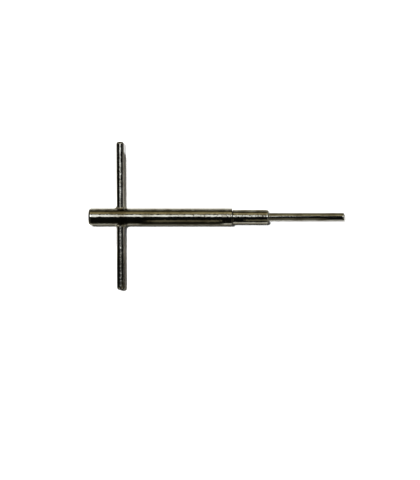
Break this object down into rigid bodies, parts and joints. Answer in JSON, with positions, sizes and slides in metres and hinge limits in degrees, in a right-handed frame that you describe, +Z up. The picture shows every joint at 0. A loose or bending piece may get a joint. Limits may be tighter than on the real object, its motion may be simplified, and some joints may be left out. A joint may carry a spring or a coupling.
{
  "type": "tap wrench",
  "caption": "Long-reach T-handle tap wrench with a brazed cross bar, stepped closing sleeve over gripping jaws, and a thin extension spindle with a square-bottomed tap socket.",
  "frame": {"origin": "middle of the tool's length, on the surface that the barrel lies on, below the tool's axis", "axes": "+X along the tool's axis from the butt end to the tap socket, +Y along the cross bar, +Z up"},
  "size_m": [0.1782, 0.1035, 0.012],
  "materials": {
    "plated_steel": "polished nickel plate, slightly wavy",
    "plated_bar": "nickel plate over drawn bar, grainy",
    "plated_braze": "nickel plate over braze, satin",
    "plated_sleeve": "polished nickel plate with fine turning lines",
    "plated_spindle": "polished nickel plate",
    "machined_steel": "machined, oiled",
    "hardened_steel": "hardened and blacked",
    "spring_wire": "drawn music wire"
  },
  "bodies": {
    "handle": {"barrel": "plated_steel", "cross_bar": "plated_bar", "braze_ring_left": "plated_braze", "braze_ring_right": "plated_braze", "chuck_body": "machined_steel", "jaw_spring_1": "spring_wire", "jaw_spring_2": "spring_wire"},
    "closing_cone": {"closing_cone": "hardened_steel"},
    "closing_sleeve": {"closing_sleeve": "plated_sleeve"},
    "jaw_upper": {"jaw_upper": "hardened_steel"},
    "jaw_lower": {"jaw_lower": "hardened_steel"},
    "extension_spindle": {"extension_spindle": "plated_spindle"}
  },
  "joints": [
    {"name": "sleeve_advance", "type": "slide", "parent": "handle", "child": "closing_cone", "axis": [1, 0, 0], "range_m": [0, 0.00225]},
    {"name": "sleeve_turn", "type": "hinge", "parent": "closing_cone", "child": "closing_sleeve", "pos_m": [0.024, 0, 0.006], "axis": [1, 0, 0], "range_deg": [0, 1080]},
    {"name": "jaw_upper_open", "type": "slide", "parent": "handle", "child": "jaw_upper", "axis": [0, 0, 1], "range_m": [0, 0.0005], "deforming": ["jaw_spring_1", "jaw_spring_2"]},
    {"name": "jaw_lower_open", "type": "slide", "parent": "handle", "child": "jaw_lower", "axis": [0, 0, -1], "range_m": [0, 0.0005]},
    {"name": "spindle_slide", "type": "slide", "parent": "handle", "child": "extension_spindle", "axis": [1, 0, 0], "range_m": [0, 0.0165]}
  ],
  "couplings": [
    {"joint": "sleeve_turn", "follows": "sleeve_advance", "rad_per_m": 8377.6},
    {"joint": "jaw_upper_open", "follows": "sleeve_advance", "ratio": 0.21256},
    {"joint": "jaw_lower_open", "follows": "sleeve_advance", "ratio": 0.21256}
  ]
}
